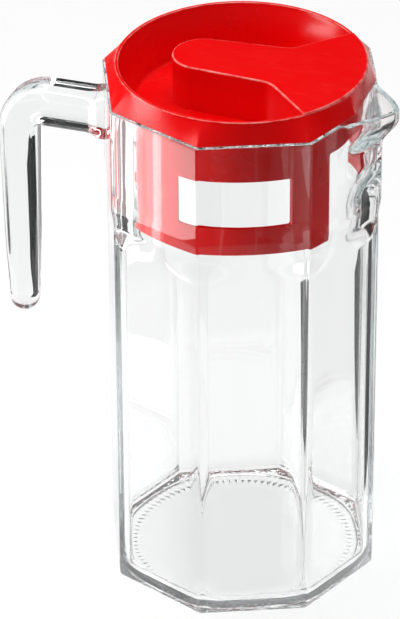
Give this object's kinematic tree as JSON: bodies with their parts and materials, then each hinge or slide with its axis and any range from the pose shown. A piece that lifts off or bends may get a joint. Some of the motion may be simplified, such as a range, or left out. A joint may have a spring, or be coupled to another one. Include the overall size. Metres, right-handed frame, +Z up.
{
  "type": "jug with lid",
  "caption": "Octagonal clear glass jug with a pulled pouring spout, a fused hanging glass handle and a lift-off red plastic lid with a sunk finger grip.",
  "frame": {"origin": "centre of the flat base, on the axis of the octagonal body", "axes": "+Z up along the body's axis, +X towards the spout, -X towards the handle"},
  "size_m": [0.1706, 0.119, 0.2366],
  "materials": {
    "body_glass": "clear polished glass with a faint blue-green edge",
    "handle_glass": "clear solid glass, fire-polished",
    "red_plastic": "semi-gloss injection moulded plastic"
  },
  "bodies": {
    "jug": {"glass_body": "body_glass", "glass_handle": "handle_glass"},
    "lid": {"lid": "red_plastic"}
  },
  "joints": [
    {"name": "lid_lift", "type": "slide", "parent": "jug", "child": "lid", "axis": [0, 0, 1], "range_m": [0, 0.08]}
  ]
}
